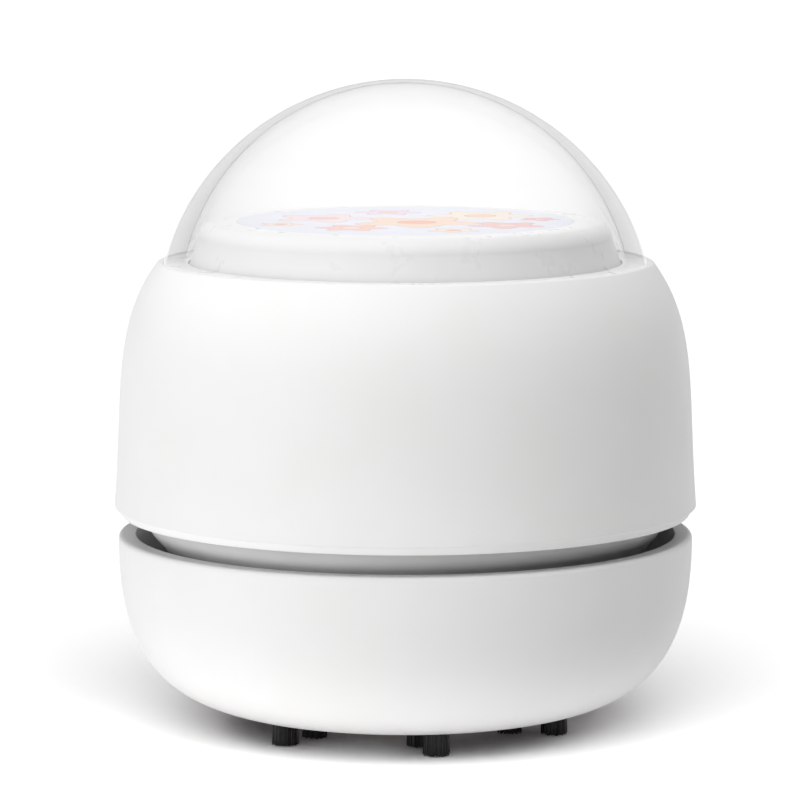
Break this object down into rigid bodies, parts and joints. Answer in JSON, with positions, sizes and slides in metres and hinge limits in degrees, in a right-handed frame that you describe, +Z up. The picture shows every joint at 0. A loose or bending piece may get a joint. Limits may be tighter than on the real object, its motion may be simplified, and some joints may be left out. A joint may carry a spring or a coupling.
{
  "type": "desktop mini vacuum cleaner",
  "caption": "Round desktop crumb vacuum: bristled dust cup, filter, and a lift-off head with motor, fan, back button and a clear display dome over a round stage.",
  "frame": {"origin": "on the table, at the middle of the body's axis, level with the bristle tips", "axes": "+Z up along the body's axis; -Y is the front that the picture shows; the button and charging port face +Y"},
  "size_m": [0.0862, 0.0862, 0.0962],
  "materials": {
    "body_white": "satin moulded ABS",
    "stage_white": "satin moulded ABS",
    "button_white": "satin moulded ABS",
    "neck_grey": "satin moulded ABS, light grey",
    "inner_white": "moulded ABS",
    "impeller_white": "moulded nylon",
    "bristle_nylon": "black nylon filament",
    "filter_paper": "folded filter paper",
    "rubber_seal": "moulded silicone rubber",
    "steel": "plated steel",
    "black_nylon": "moulded nylon",
    "cell_sleeve": "heat-shrink sleeve",
    "board_green": "soldermask on glass-epoxy board",
    "light_diffuser": "frosted clear acrylic",
    "print_card": null,
    "dome_clear": "clear polished acrylic",
    "lead_black": "PVC-covered wire",
    "lead_red": "PVC-covered wire"
  },
  "bodies": {
    "cup": {"dust_cup": "body_white", "suction_plate": "inner_white", "bristles_1": "bristle_nylon", "bristles_2": "bristle_nylon", "bristles_3": "bristle_nylon"},
    "filter": {"filter_frame": "inner_white", "filter_element": "filter_paper", "filter_gasket": "rubber_seal"},
    "head": {"fan_housing": "neck_grey", "vent_ring": "body_white", "upper_shell": "body_white", "motor_deck": "inner_white", "motor_can": "steel", "motor_end_cap": "black_nylon", "motor_sleeve": "rubber_seal", "battery_cell": "cell_sleeve", "battery_saddle_left": "inner_white", "battery_saddle_right": "inner_white", "battery_tab_left": "steel", "battery_tab_right": "steel", "control_board": "board_green", "charging_port": "steel", "power_switch": "black_nylon", "light_pipe": "light_diffuser", "button_spring": "steel", "display_stage": "stage_white", "print_disc": "print_card", "clear_dome": "dome_clear", "housing_screw_1": "steel", "housing_screw_2": "steel", "housing_screw_3": "steel", "deck_screw_1": "steel", "deck_screw_2": "steel", "deck_screw_3": "steel", "deck_screw_4": "steel", "battery_lead_left": "lead_black", "motor_lead_left": "lead_black", "battery_lead_right": "lead_red", "motor_lead_right": "lead_red"},
    "fan": {"motor_shaft": "steel", "impeller": "impeller_white"},
    "button": {"power_button": "button_white"}
  },
  "joints": [
    {"name": "filter_lift", "type": "slide", "parent": "cup", "child": "filter", "axis": [0, 0, 1], "range_m": [0, 0.03]},
    {"name": "head_lift", "type": "slide", "parent": "filter", "child": "head", "axis": [0, 0, 1], "range_m": [0, 0.045]},
    {"name": "fan_spin", "type": "hinge", "parent": "head", "child": "fan", "pos_m": [0, 0, 0.03], "axis": [0, 0, 1], "continuous": true},
    {"name": "button_press", "type": "slide", "parent": "head", "child": "button", "axis": [0, -1, 0], "range_m": [0, 0.001], "stiffness_N_per_m": 400, "springref_m": -0.001, "deforming": ["button_spring"]}
  ]
}
